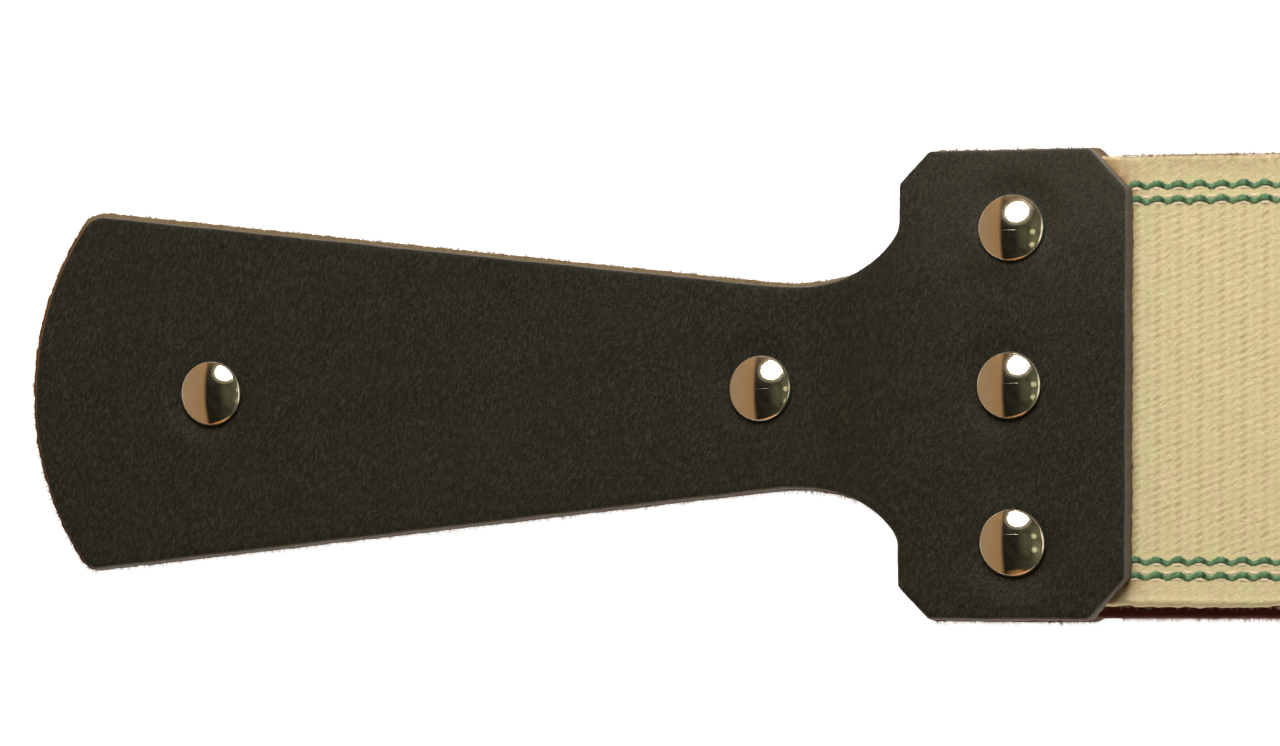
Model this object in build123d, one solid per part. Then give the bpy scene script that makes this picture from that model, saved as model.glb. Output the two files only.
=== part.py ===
from build123d import *

import math
import os

# A hanging strop: a two-layer leather handle riveted over a webbing strap and a leather strap, and at the
# far end a folded leather hanger tab round the bar of a swivel eye with a bolt snap hook.
# Millimetres. +X runs along the strop from the handle's tail to the hook, +Z is up from the surface that
# it lies on. Lengths below are counted from the tail's end and shifted to the middle when they are written.

# Thicknesses, from the surface up
CAP_HEIGHT = 2.0
HANDLE_LEATHER = 2.8
STRAP_LEATHER = 2.6
WEBBING = 2.2

# Handle outline. The tail's two corners are cut by hand and aren't quite alike.
TAIL_START = 0.4
TAIL_RADIUS = 41.7
TAIL_HALF_WIDTH = 25.6
TAIL_UPPER_FILLET = 3.6
TAIL_LOWER_FILLET = 2.4
TAPER = 0.11
NECK_START = (113.0, 14.2)
NECK_FLARE = (125.2, 15.2)
NECK_SHOULDER = (132.4, 20.1)
HEAD_WIDTH = 64.5
HEAD_START = 133.2
HEAD_END = 165.4
SHOULDER_Y = 22.6
HEAD_CHAMFER_X = 4.1
HEAD_CHAMFER_Y = 4.4
STRAP_SIDE_CHAMFER_X = 5.2
STRAP_SIDE_CHAMFER_Y = 5.6
HEAD_CORNER_FILLET = 0.9
RAMP_START = 117.0
RAMP_END = 137.5

# The back layer is cut a little larger and riveted on askew: it reaches further past the tail, because
# the front layer loses length in its step, and it is turned about the head, in degrees
BACK_OVERSIZE = 0.5
BACK_SLIDE = 1.1
BACK_SHIFT = 0.12
BACK_TURN = -0.06

# Straps
STRAP_WIDTH = 63.5
STRAP_SHIFT = -0.35
WEBBING_WIDTH = 62.0
STRAP_ROOT = 138.2
FREE_LENGTH = 360.0
SETTLE_LENGTH = 60.0
SETTLE_MARGIN = 2.0

# Hanger tab, counted from its strap-side edge
TAB_START = HEAD_END + FREE_LENGTH
TAB_WIDTH = 66.2
TAB_BLOCK = 30.0
TAB_NECK_HALF_WIDTH = 11.0
TAB_NECK_FILLET = 12.4
TAB_TO_BAR = 52.0
TONGUE_HALF_WIDTH = 9.5
TONGUE_SHOULDER = 26.0
TONGUE_END = 45.0

# Rivets
CAP_RADIUS = 4.7
CAP_RIM = 0.35
TUBE_RADIUS = 2.0
TUBE_BORE = 1.3
POST_RADIUS = 1.27
POST_SHORTFALL = 1.0
TUBE_SHORTFALL = 0.2
HANDLE_HOLE = 2.05
STRAP_HOLE = 2.2
HEAD_RIVET_X = 149.1
RIVET_PITCH = 21.5
TAB_RIVET_X = TAB_START + 16.0
LOOP_RIVET_X = TAB_START + 39.0

# Swivel eye
BAR_CLEARANCE = 0.1
EYE_HALF_WIDTH = 14.9
EYE_SIDE = 7.5
EYE_FRONT = 15.0
EYE_FRONT_HALF = 5.5
EYE_FILLET = 3.6
COLLAR_RADIUS = 4.2
COLLAR_LENGTH = 4.4
STEM_RADIUS = 2.5
STEM_HEAD_RADIUS = 3.9
STEM_HEAD_LENGTH = 1.9
RUNNING_CLEARANCE = 0.05
END_CLEARANCE = 0.25

# Hook, counted along its axis from the bearing wall's outer face
BEARING_LENGTH = 4.2
WINDOW_LENGTH = 6.2
WINDOW_WIDTH = 9.0
CHAMBER_FLOOR = 2.8
BOLT_RADIUS = 3.25
BOLT_IN_BARREL = 12.0
BOLT_TRAVEL = 8.0
BOLT_TIP_GAP = 0.2
SPRING_REST = 16.0
ARM_RADIUS = 3.0
ARM_ROOT_Y = 4.0
ARM_SIDE_Y = 14.5
ARM_REACH = 22.0
ARM_TIP = 8.4
BARREL_RADIUS = 6.4
BARREL_EDGE = 1.0

# Thumb stud
STUD_FROM_MOUTH = 5.5
STUD_RADIUS = 1.48
STUD_HOLE = 1.5
STUD_DEPTH = 2.0
STUD_KNOB_RADIUS = 3.3
STUD_KNOB_HEIGHT = 3.0
STUD_STANDOFF = 0.4
SLOT_HALF_WIDTH = 1.7

# Return spring
SPRING_TURNS = 7
SPRING_WIRE = 0.4
SPRING_RADIUS = 2.4

# Heights worked out from the thicknesses
Z_BACK = CAP_HEIGHT
Z_LEATHER = Z_BACK + HANDLE_LEATHER
Z_WEBBING = Z_LEATHER + STRAP_LEATHER
Z_FRONT = Z_WEBBING + WEBBING
Z_TOP = Z_FRONT + HANDLE_LEATHER
Z_AXIS = (Z_BACK + Z_TOP) / 2
Z_CLOSED = Z_LEATHER + HANDLE_LEATHER

# Places along the strop worked out from the above
BAR_X = TAB_START + TAB_TO_BAR
FOLD_RADIUS = (Z_FRONT - Z_LEATHER) / 2
BAR_RADIUS = FOLD_RADIUS - BAR_CLEARANCE
HOOK_START = BAR_X + EYE_FRONT + COLLAR_LENGTH + END_CLEARANCE
WINDOW_START = HOOK_START + BEARING_LENGTH
CHAMBER_START = WINDOW_START + WINDOW_LENGTH + CHAMBER_FLOOR
BOLT_REAR = CHAMBER_START + SPRING_REST
MOUTH_X = BOLT_REAR + BOLT_IN_BARREL
STUD_X = MOUTH_X - STUD_FROM_MOUTH
TAIL_END = TAIL_START - BACK_SLIDE - BACK_OVERSIZE
HOOK_END = MOUTH_X + ARM_REACH + ARM_RADIUS
MIDDLE_X = (TAIL_END + HOOK_END) / 2

# The handle's rivets are set by hand, each a little off the line that it was marked on
HANDLE_RIVETS = {
    "tail": (28.1, -0.3),
    "neck": (111.3, -0.15),
    "head_upper": (HEAD_RIVET_X, RIVET_PITCH),
    "head_middle": (HEAD_RIVET_X - 0.3, -0.2),
    "head_lower": (HEAD_RIVET_X + 0.3, -RIVET_PITCH - 0.35),
}
TAB_RIVETS = {
    "tab_upper": (TAB_RIVET_X, RIVET_PITCH),
    "tab_middle": (TAB_RIVET_X, 0.0),
    "tab_lower": (TAB_RIVET_X, -RIVET_PITCH),
    "tab_loop": (LOOP_RIVET_X, 0.0),
}


def run_of_edges(points):
    """Joins points of a height profile: level runs as lines, a change of height as two equal arcs."""
    edges = []
    for start, end in zip(points, points[1:]):
        if start[1] == end[1]:
            edges.append(Line(start, end))
            continue
        middle = ((start[0] + end[0]) / 2, (start[1] + end[1]) / 2)
        first = TangentArc(start, middle, tangent=(1, 0))
        edges += [first, TangentArc(middle, end, tangent=first % 1)]
    return edges


def layer(points, thickness, outline):
    """A sheet whose underside follows the points (x, z), cut to an outline in plan."""
    raised = [(x, z + thickness) for x, z in points]
    ends = [Line(points[0], raised[0]), Line(points[-1], raised[-1])]
    profile = make_face(run_of_edges(points) + run_of_edges(raised) + ends)
    sheet = extrude(Plane.XZ * profile, HEAD_WIDTH, both=True)
    return sheet & extrude(outline, Z_TOP + 1)


def vertices_at(face, x, half_width):
    """The corners of an outline at x and at plus and minus a half width."""
    return [v for v in face.vertices() if abs(v.X - x) < 0.01 and abs(abs(v.Y) - half_width) < 0.01]


def drill(solid, centres, radius):
    """Cuts upright round holes right through."""
    for x, y in centres:
        solid -= Pos(x, y, 0) * Cylinder(radius, 4 * Z_TOP)
    return solid


def revolved(points, axis=Axis.X):
    """Turns a closed polygon round an axis."""
    return revolve(make_face(Polyline(*points, close=True)), axis)


def handle_outline():
    """Round tail, straight taper to the neck, a flare of tangent arcs, and a wide head with cut corners."""
    corner_x = TAIL_START + TAIL_RADIUS - math.sqrt(TAIL_RADIUS**2 - TAIL_HALF_WIDTH**2)
    half = HEAD_WIDTH / 2
    head = [
        (HEAD_START, SHOULDER_Y),
        (HEAD_START, half - HEAD_CHAMFER_Y),
        (HEAD_START + HEAD_CHAMFER_X, half),
        (HEAD_END - STRAP_SIDE_CHAMFER_X, half),
        (HEAD_END, half - STRAP_SIDE_CHAMFER_Y),
    ]
    taper = Line((corner_x, TAIL_HALF_WIDTH), NECK_START)
    neck = TangentArc(NECK_START, NECK_FLARE, tangent=(1, -TAPER))
    flare = TangentArc(NECK_FLARE, NECK_SHOULDER, tangent=neck % 1)
    shoulder = TangentArc(NECK_SHOULDER, head[0], tangent=flare % 1)
    side = [taper, neck, flare, shoulder, Polyline(*head)]
    mirrored = [mirror(edge, about=Plane.XZ) for edge in side]
    front = Line(head[-1], (HEAD_END, -head[-1][1]))
    tail = ThreePointArc(mirrored[0] @ 0, (TAIL_START, 0), side[0] @ 0)
    face = make_face([*side, *mirrored, front, tail])
    for x, y in head[1:]:
        face = fillet(vertices_at(face, x, y), HEAD_CORNER_FILLET)
    for pick, radius in ((max, TAIL_UPPER_FILLET), (min, TAIL_LOWER_FILLET)):
        corner = pick(vertices_at(face, corner_x, TAIL_HALF_WIDTH), key=lambda v: v.Y)
        face = fillet(corner, radius)
    return face


def handle_layers():
    """The front layer steps down from the head to the tail, the back layer is flat."""
    outline = handle_outline()
    turned = Rot(0, 0, BACK_TURN) * Pos(-HEAD_RIVET_X, 0) * offset(outline, BACK_OVERSIZE)
    askew = Pos(HEAD_RIVET_X - BACK_SLIDE, BACK_SHIFT) * turned
    step = [(-1, Z_LEATHER), (RAMP_START, Z_LEATHER), (RAMP_END, Z_FRONT), (HEAD_END + 1, Z_FRONT)]
    level = [(TAIL_END - 1, Z_BACK), (HEAD_END + 1, Z_BACK)]
    front = layer(step, HANDLE_LEATHER, outline)
    back = layer(level, HANDLE_LEATHER, askew)
    holes = HANDLE_RIVETS.values()
    return {
        "handle_front_layer": drill(front, holes, HANDLE_HOLE),
        "handle_back_layer": drill(back, holes, HANDLE_HOLE),
    }


def strap_outline(low_y, high_y):
    """A long rectangle whose far end is cut to a tongue that fits in the hanger tab."""
    shoulder = TAB_START + TONGUE_SHOULDER
    slant = shoulder + (STRAP_WIDTH / 2 - TONGUE_HALF_WIDTH) / 4
    end = TAB_START + TONGUE_END
    corners = [
        (STRAP_ROOT, low_y),
        (shoulder, low_y),
        (slant, -TONGUE_HALF_WIDTH),
        (end, -TONGUE_HALF_WIDTH),
        (end, TONGUE_HALF_WIDTH),
        (slant, TONGUE_HALF_WIDTH),
        (shoulder, high_y),
        (STRAP_ROOT, high_y),
    ]
    return make_face(Polyline(*corners, close=True))


def strap(root_height, floor_height, thickness, low_y, high_y):
    """A strap clamped at both ends, which settles onto the surface in between."""
    profile = [
        (STRAP_ROOT, root_height),
        (HEAD_END + SETTLE_MARGIN, root_height),
        (HEAD_END + SETTLE_MARGIN + SETTLE_LENGTH, floor_height),
        (TAB_START - SETTLE_MARGIN - SETTLE_LENGTH, floor_height),
        (TAB_START - SETTLE_MARGIN, root_height),
        (TAB_START + TONGUE_END, root_height),
    ]
    solid = layer(profile, thickness, strap_outline(low_y, high_y))
    holes = [place for name, place in HANDLE_RIVETS.items() if name.startswith("head")]
    return drill(solid, holes + list(TAB_RIVETS.values()), STRAP_HOLE)


def straps():
    """The webbing lies flush with the leather strap's +Y edge and a little short of its -Y edge."""
    low_y = STRAP_SHIFT - STRAP_WIDTH / 2
    high_y = STRAP_SHIFT + STRAP_WIDTH / 2
    return {
        "leather_strap": strap(Z_LEATHER, 0.0, STRAP_LEATHER, low_y, high_y),
        "webbing_strap": strap(Z_WEBBING, STRAP_LEATHER, WEBBING, high_y - WEBBING_WIDTH, high_y),
    }


def tab_outline():
    """A block like the handle's head, then a narrow loop that goes round the eye's bar."""
    half = TAB_WIDTH / 2
    block_end = TAB_START + TAB_BLOCK
    side = [
        (TAB_START, half - STRAP_SIDE_CHAMFER_Y),
        (TAB_START + STRAP_SIDE_CHAMFER_X, half),
        (block_end - HEAD_CHAMFER_X, half),
        (block_end, half - HEAD_CHAMFER_Y),
        (block_end, TAB_NECK_HALF_WIDTH),
        (BAR_X + TAB_TO_BAR, TAB_NECK_HALF_WIDTH),
    ]
    mirrored = [(x, -y) for x, y in reversed(side)]
    face = make_face(Polyline(*side, *mirrored, close=True))
    return fillet(vertices_at(face, block_end, TAB_NECK_HALF_WIDTH), TAB_NECK_FILLET)


def hanger_tab():
    """One piece of leather folded round the bar, with its two legs over and under the straps."""
    start = TAB_START - 1
    outer_end = (BAR_X + FOLD_RADIUS + HANDLE_LEATHER, Z_AXIS)
    inner_end = (BAR_X + FOLD_RADIUS, Z_AXIS)
    outer = ThreePointArc((BAR_X, Z_TOP), outer_end, (BAR_X, Z_BACK))
    inner = ThreePointArc((BAR_X, Z_LEATHER), inner_end, (BAR_X, Z_FRONT))
    under = Polyline((BAR_X, Z_BACK), (start, Z_BACK), (start, Z_LEATHER), (BAR_X, Z_LEATHER))
    over = Polyline((BAR_X, Z_FRONT), (start, Z_FRONT), (start, Z_TOP), (BAR_X, Z_TOP))
    folded = extrude(Plane.XZ * make_face([outer, under, inner, over]), HEAD_WIDTH, both=True)
    cut = folded & extrude(tab_outline(), Z_TOP + 1)
    return {"hanger_tab": drill(cut, TAB_RIVETS.values(), HANDLE_HOLE)}


def dome(z):
    """A rivet's cap on the level z, with a thin straight rim under its dome."""
    rim = Line((CAP_RADIUS, z), (CAP_RADIUS, z + CAP_RIM))
    crown_z = z + CAP_HEIGHT
    rise = CAP_HEIGHT - CAP_RIM
    crown_radius = (CAP_RADIUS**2 + rise**2) / (2 * rise)
    half_angle = math.asin(CAP_RADIUS / crown_radius) / 2
    middle_x = crown_radius * math.sin(half_angle)
    middle_z = crown_z - crown_radius * (1 - math.cos(half_angle))
    crown = ThreePointArc((CAP_RADIUS, z + CAP_RIM), (middle_x, middle_z), (0, crown_z))
    core = Line((0, crown_z), (0, z))
    base = Line((0, z), (CAP_RADIUS, z))
    return revolve(Plane.XZ * make_face([rim, crown, core, base]), Axis.Z)


def rivet(top):
    """A front cap with a tube and a rear cap with a post, over leather whose top face is at this height."""
    grip = top - Z_BACK
    tube_length = grip - TUBE_SHORTFALL
    post_length = grip - POST_SHORTFALL
    tube = Pos(0, 0, top - tube_length / 2) * (
        Cylinder(TUBE_RADIUS, tube_length) - Cylinder(TUBE_BORE, tube_length)
    )
    post = Pos(0, 0, Z_BACK + post_length / 2) * Cylinder(POST_RADIUS, post_length)
    rear_dome = Pos(0, 0, Z_BACK) * Rot(180, 0, 0) * dome(0)
    return dome(top) + tube, rear_dome + post


def rivets():
    """Every rivet's two pieces in place."""
    pieces = {}
    for name, (x, y) in {**HANDLE_RIVETS, **TAB_RIVETS}.items():
        top = Z_CLOSED if x < RAMP_START else Z_TOP
        front, rear = rivet(top)
        pieces[f"rivet_{name}_cap"] = Pos(x, y, 0) * front
        pieces[f"rivet_{name}_post"] = Pos(x, y, 0) * rear
    return pieces


def round_bar(corners, radii, radius):
    """A round bar bent along straight runs joined by arcs."""
    path = FilletPolyline(*corners, radius=radii)
    section = Plane(origin=path @ 0, z_dir=path % 0) * Circle(radius)
    return sweep(section, path)


def swivel_eye():
    """A D-shaped loop of round bar, with a collar and a headed stem for the hook to turn on."""
    half_loop = [
        (BAR_X, 0),
        (BAR_X, EYE_HALF_WIDTH),
        (BAR_X + EYE_SIDE, EYE_HALF_WIDTH),
        (BAR_X + EYE_FRONT, EYE_FRONT_HALF),
        (BAR_X + EYE_FRONT, 0),
    ]
    side = round_bar(half_loop, EYE_FILLET, BAR_RADIUS)
    collar_start = BAR_X + EYE_FRONT - BAR_RADIUS / 2
    collar_end = BAR_X + EYE_FRONT + COLLAR_LENGTH
    head_start = WINDOW_START + END_CLEARANCE
    head_end = head_start + STEM_HEAD_LENGTH
    stem = revolved(
        [
            (collar_start, 0),
            (collar_start, COLLAR_RADIUS - 1),
            (collar_start + 1, COLLAR_RADIUS),
            (collar_end - 0.5, COLLAR_RADIUS),
            (collar_end, COLLAR_RADIUS - 0.5),
            (collar_end, STEM_RADIUS),
            (head_start, STEM_RADIUS),
            (head_start, STEM_HEAD_RADIUS),
            (head_end - 0.6, STEM_HEAD_RADIUS),
            (head_end, STEM_HEAD_RADIUS - 0.8),
            (head_end, 0),
        ]
    )
    return {"swivel_eye": Pos(0, 0, Z_AXIS) * (side + mirror(side, Plane.XZ) + stem)}


def hook_body():
    """Bearing wall, window, spring chamber and the hook arm, in one casting."""
    edge = BARREL_EDGE
    barrel = revolved(
        [
            (HOOK_START, 0),
            (HOOK_START, BARREL_RADIUS - 2 * edge),
            (HOOK_START + 2 * edge, BARREL_RADIUS),
            (MOUTH_X - edge, BARREL_RADIUS),
            (MOUTH_X, BARREL_RADIUS - edge),
            (MOUTH_X, 0),
        ]
    )
    arm = round_bar(
        [
            (MOUTH_X - 5, ARM_ROOT_Y),
            (MOUTH_X + 2.5, ARM_SIDE_Y),
            (MOUTH_X + ARM_REACH, ARM_SIDE_Y),
            (MOUTH_X + ARM_REACH, 0),
            (MOUTH_X + ARM_TIP, 0),
        ],
        [4.5, 7.0, 7.0],
        ARM_RADIUS,
    )
    bore_radius = STEM_RADIUS + RUNNING_CLEARANCE
    chamber_radius = BOLT_RADIUS + RUNNING_CLEARANCE
    chamber_length = MOUTH_X - CHAMBER_START
    window_x = WINDOW_START + WINDOW_LENGTH / 2
    slot_start = STUD_X - BOLT_TRAVEL - SLOT_HALF_WIDTH - 0.3
    slot_length = STUD_X + SLOT_HALF_WIDTH - slot_start
    slot = Pos(slot_start + slot_length / 2, -BARREL_RADIUS, 0) * Rot(90, 0, 0) * extrude(
        SlotOverall(slot_length, 2 * SLOT_HALF_WIDTH), BARREL_RADIUS, both=True
    )
    bearing = Pos(HOOK_START + BEARING_LENGTH / 2, 0, 0) * Rot(0, 90, 0)
    chamber = Pos(MOUTH_X - chamber_length / 2, 0, 0) * Rot(0, 90, 0)
    body = barrel + arm
    body -= bearing * Cylinder(bore_radius, 2 * BEARING_LENGTH)
    body -= Pos(window_x, 0, 0) * Box(WINDOW_LENGTH, WINDOW_WIDTH, 3 * BARREL_RADIUS)
    body -= chamber * Cylinder(chamber_radius, chamber_length)
    body -= slot
    return {"hook_body": Pos(0, 0, Z_AXIS) * body}


def snap_bolt():
    """The sliding bolt, with a rounded nose that closes the hook and a cross hole for the stud."""
    nose = MOUTH_X + ARM_TIP - BOLT_TIP_GAP
    rod = revolved(
        [
            (BOLT_REAR, 0),
            (BOLT_REAR, BOLT_RADIUS - 0.4),
            (BOLT_REAR + 0.4, BOLT_RADIUS),
            (nose - 1, BOLT_RADIUS),
            (nose, BOLT_RADIUS - 1),
            (nose, 0),
        ]
    )
    hole_y = -BOLT_RADIUS + STUD_DEPTH / 2
    hole = Pos(STUD_X, hole_y - 1, 0) * Rot(90, 0, 0) * Cylinder(STUD_HOLE, STUD_DEPTH + 2)
    return {"snap_bolt": Pos(0, 0, Z_AXIS) * (rod - hole)}


def thumb_stud():
    """A pin in the bolt's cross hole, with a waisted knob outside the barrel."""
    foot = BOLT_RADIUS - STUD_DEPTH
    knob = BARREL_RADIUS + STUD_STANDOFF
    top = knob + STUD_KNOB_HEIGHT
    profile = [
        (0, foot),
        (STUD_RADIUS, foot),
        (STUD_RADIUS, knob),
        (STUD_KNOB_RADIUS - 0.8, knob),
        (STUD_KNOB_RADIUS, knob + 1.2),
        (STUD_KNOB_RADIUS, top - 0.7),
        (STUD_KNOB_RADIUS - 0.7, top),
        (0, top),
    ]
    pin = revolved(profile, Axis.Y)
    return {"thumb_stud": Pos(STUD_X, 0, Z_AXIS) * Rot(180, 0, 0) * pin}


def bolt_spring():
    """An open coil spring between the chamber's floor and the bolt."""
    wound_length = SPRING_REST - 2 * SPRING_WIRE - 4 * RUNNING_CLEARANCE
    wire_path = Helix(wound_length / SPRING_TURNS, wound_length, SPRING_RADIUS)
    section = Plane(origin=wire_path @ 0, z_dir=wire_path % 0) * Circle(SPRING_WIRE)
    coil = sweep(section, wire_path, is_frenet=True)
    start = CHAMBER_START + SPRING_WIRE + 2 * RUNNING_CLEARANCE
    return {"bolt_spring": Pos(start, 0, Z_AXIS) * Rot(0, 90, 0) * coil}


def build():
    """All the pieces by name, in the strop's own place along X."""
    makers = [
        handle_layers,
        straps,
        hanger_tab,
        rivets,
        swivel_eye,
        hook_body,
        snap_bolt,
        thumb_stud,
        bolt_spring,
    ]
    pieces = {}
    for maker in makers:
        pieces.update(maker())
    return pieces


os.makedirs("parts", exist_ok=True)
for node, shape in build().items():
    export_step(Pos(-MIDDLE_X, 0, 0) * shape, f"parts/{node}.step")
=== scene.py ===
"""The looks of a hanging strop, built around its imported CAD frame. Lengths are in millimetres until a mesh
is made, and +X runs from the handle's tail to the hook, +Z up."""

import math

import bmesh
import bpy
import numpy as np
from mathutils import Matrix, Vector
from mathutils.bvhtree import BVHTree
from mathutils.geometry import delaunay_2d_cdt


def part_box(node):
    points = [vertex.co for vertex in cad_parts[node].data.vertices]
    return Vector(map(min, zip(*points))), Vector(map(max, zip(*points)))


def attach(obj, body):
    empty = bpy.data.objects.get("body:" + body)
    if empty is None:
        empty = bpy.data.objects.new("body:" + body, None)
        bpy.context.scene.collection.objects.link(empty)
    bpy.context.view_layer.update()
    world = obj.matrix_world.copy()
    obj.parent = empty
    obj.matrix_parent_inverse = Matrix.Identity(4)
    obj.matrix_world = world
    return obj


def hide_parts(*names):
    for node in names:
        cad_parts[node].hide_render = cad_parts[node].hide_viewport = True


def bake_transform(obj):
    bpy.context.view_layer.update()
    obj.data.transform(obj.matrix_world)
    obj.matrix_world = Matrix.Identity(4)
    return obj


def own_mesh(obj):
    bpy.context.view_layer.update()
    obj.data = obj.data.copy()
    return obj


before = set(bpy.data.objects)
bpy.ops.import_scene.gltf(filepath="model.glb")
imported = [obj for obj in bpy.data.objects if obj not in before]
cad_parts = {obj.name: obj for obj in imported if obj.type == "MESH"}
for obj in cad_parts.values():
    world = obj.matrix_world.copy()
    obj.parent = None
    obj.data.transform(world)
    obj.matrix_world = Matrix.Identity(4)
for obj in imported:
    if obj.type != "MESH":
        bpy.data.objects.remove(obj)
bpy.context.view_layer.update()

MM = 0.001
SEED = 7

# Camera: it sees the handle end from above, from the hook's side and a little from -Y
CAMERA_TILT_X = math.radians(19.3)
CAMERA_TILT_Y = math.radians(2.3)
CAMERA_ROLL = math.radians(0.32)
CAMERA_DISTANCE = 952.0
CAMERA_LENS = 188.7
SENSOR_WIDTH = 36.0
AIM_FROM_TAIL = 90.42
AIM_Y = 2.45

# Leather layers: the steps of their mesh, the rounding of their edges, and how the caps draw them down
OUTLINE_STEP = 0.55
GRID_STEP = 1.3
EDGE_ROUND = 0.45
DIMPLE_DEPTH = 0.24
DIMPLE_REACH = 3.2

# Webbing: the periods and slant of its weave, the distance of each green yarn from the edge, how far the
# yarns wave and how thick they are, and the steps of its mesh
RIB_PERIOD = 3.0
ROW_PERIOD = 1.04
DIMPLE_SLANT = math.radians(35)
STRIPE_OUTER = 4.25
STRIPE_INNER = 6.3
STRIPE_WAVE = 0.25
STRIPE_RADIUS = 0.42
PALE_RADIUS = 0.2
FUZZ_COUNT = 8000
WEBBING_STEP_X = RIB_PERIOD / 8
WEBBING_STEP_Y = ROW_PERIOD / 4.4

# Length beside the head over which the webbing's mesh is twice as fine
FINE_LENGTH = 30.0

# Rounding of the webbing's and the leather strap's edges, how far their ends stop short of the CAD's, and the
# length of the webbing's two end stretches beside the head and the tab
SELVEDGE = 0.6
STRAP_ROUND = 0.5
END_GAP = 0.3
END_STRETCH = 90.0

# Rivet caps. The dome ends before the rim in a steeper skirt, and hand setting left each cap leaning a
# little: degrees toward +X and toward +Y.
CAP_SEGMENTS = 96
RIM_DROP = 0.3
DOME_EDGE = math.radians(33)
DOME_SHARE = 0.883
CAP_LEAN = {
    "tail": (-0.7, -3.1),
    "neck": (-2.2, 2.3),
    "head_upper": (2.6, 5.1),
    "head_middle": (-2.3, 0.4),
    "head_lower": (2.1, -4.9),
}

# Middle of the fine straight mark that setting left on each of the handle's front caps, from the cap's
# centre. The tail's cap has none, so its mark lies off the cap. PLAIN_MARK is for every other cap.
CAP_MARK = {
    "tail": (20.0, 0.0),
    "neck": (0.9, -0.14),
    "head_upper": (0.24, -0.47),
    "head_middle": (0.94, 0.19),
    "head_lower": (0.38, 1.13),
}
PLAIN_MARK = (0.75, -0.1)

# The cut corners beside the head's strap-side edge, along the strop and across it
HEAD_CUT = (5.2, 5.6)

# The hook's return spring: its turns, the radius of its wire, and the mesh's steps a turn and around the wire
SPRING_TURNS = 7
SPRING_WIRE = 0.4
SPRING_STEPS = 28
SPRING_SIDES = 12

# A line along the strop, a little beside its middle, that misses every rivet hole, and how many heights are
# read along it
CLEAR_Y = 8.0
HEIGHT_SAMPLES = 400

# What the rivets mirror, by direction: a tan wall beyond the tail, dark overhead, olive beyond the hook with
# a bright strip low down, orange low on the -Y side and brown low on the +Y side
ROOM_SIDES = [
    (0.0, (0.38, 0.27, 0.17)),
    (0.25, (0.38, 0.22, 0.11)),
    (0.3, (0.013, 0.013, 0.01)),
    (0.55, (0.02, 0.021, 0.015)),
    (0.8, (0.1, 0.1, 0.065)),
    (0.93, (0.16, 0.15, 0.1)),
    (0.97, (0.95, 0.93, 0.84)),
]
ROOM_DEPTH = [
    (0.0, (0.8, 0.38, 0.16)),
    (0.03, (0.5, 0.23, 0.09)),
    (0.06, (0.0, 0.0, 0.0)),
    (0.8, (0.01, 0.01, 0.01)),
    (0.94, (0.1, 0.07, 0.045)),
    (1.0, (0.3, 0.2, 0.12)),
]
ROOM_MOTTLE = [(0.3, (0.45, 0.45, 0.45)), (0.7, (1.5, 1.5, 1.4))]


# ---------------- reading the frame


def corners(node):
    """Lowest and highest corner of a CAD node in millimetres."""
    low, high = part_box(node)
    return np.array(low) / MM, np.array(high) / MM


def outline_of(node):
    """The outer edge of a CAD layer seen from above, as an anticlockwise loop of (x, y)."""
    shape = bmesh.new()
    shape.from_mesh(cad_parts[node].data)
    bmesh.ops.remove_doubles(shape, verts=shape.verts, dist=0.003 * MM)
    after = {}
    for face in shape.faces:
        if face.normal.z < 0.3:
            continue
        for corner in face.loops:
            beside = [f for f in corner.edge.link_faces if f is not face]
            if all(f.normal.z < 0.3 for f in beside):
                after[corner.vert] = corner.link_loop_next.vert
    loops = []
    while after:
        start, here = after.popitem()
        loop = [start]
        while here in after:
            loop.append(here)
            here = after.pop(here)
        if here is start:
            loops.append(np.array([v.co[:2] for v in loop]) / MM)
    shape.free()
    return anticlockwise(max(loops, key=lambda loop: np.ptp(loop[:, 0]) * np.ptp(loop[:, 1])))


def heights_of(node, upward):
    """A function x -> height of a CAD node's top (or underside) along the line at CLEAR_Y."""
    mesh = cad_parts[node].data
    tree = BVHTree.FromPolygons([v.co for v in mesh.vertices], [f.vertices for f in mesh.polygons])
    low, high = corners(node)
    start_z, way = (high[2] + 10, -1) if upward else (low[2] - 10, 1)
    found = []
    for x in np.linspace(low[0] + 0.05, high[0] - 0.05, HEIGHT_SAMPLES):
        hit = tree.ray_cast(Vector((x, CLEAR_Y, start_z)) * MM, Vector((0, 0, way)))[0]
        if hit:
            found.append((x, hit.z / MM))
    xs, zs = np.array(found).T
    return lambda x: np.interp(x, xs, zs)


FRONT_LOW, FRONT_HIGH = corners("handle_front_layer")
BACK_LOW, BACK_HIGH = corners("handle_back_layer")
TAB_LOW, TAB_HIGH = corners("hanger_tab")
WEBBING_LOW, WEBBING_HIGH = corners("webbing_strap")
STRAP_LOW, STRAP_HIGH = corners("leather_strap")
TAIL_X = FRONT_LOW[0]
HEAD_X = FRONT_HIGH[0]
TAB_X = TAB_LOW[0]
MIDDLE_X = (HEAD_X + TAB_X) / 2
LEATHER = BACK_HIGH[2] - BACK_LOW[2]
RIVET_NAMES = [n[len("rivet_") : -len("_cap")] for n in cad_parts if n.endswith("_cap")]
CAP_RADIUS = np.ptp([c[0] for c in corners("rivet_tail_cap")]) / 2

# Heights of the layers along the strop, as functions of x
front_under = heights_of("handle_front_layer", upward=False)
webbing_top = heights_of("webbing_strap", upward=True)
webbing_under = heights_of("webbing_strap", upward=False)
strap_top = heights_of("leather_strap", upward=True)
strap_under = heights_of("leather_strap", upward=False)


def lean_of(name):
    """Slopes of a rivet's front cap toward +X and +Y."""
    return np.tan(np.radians(CAP_LEAN.get(name, (0.0, 0.0))))


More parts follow.
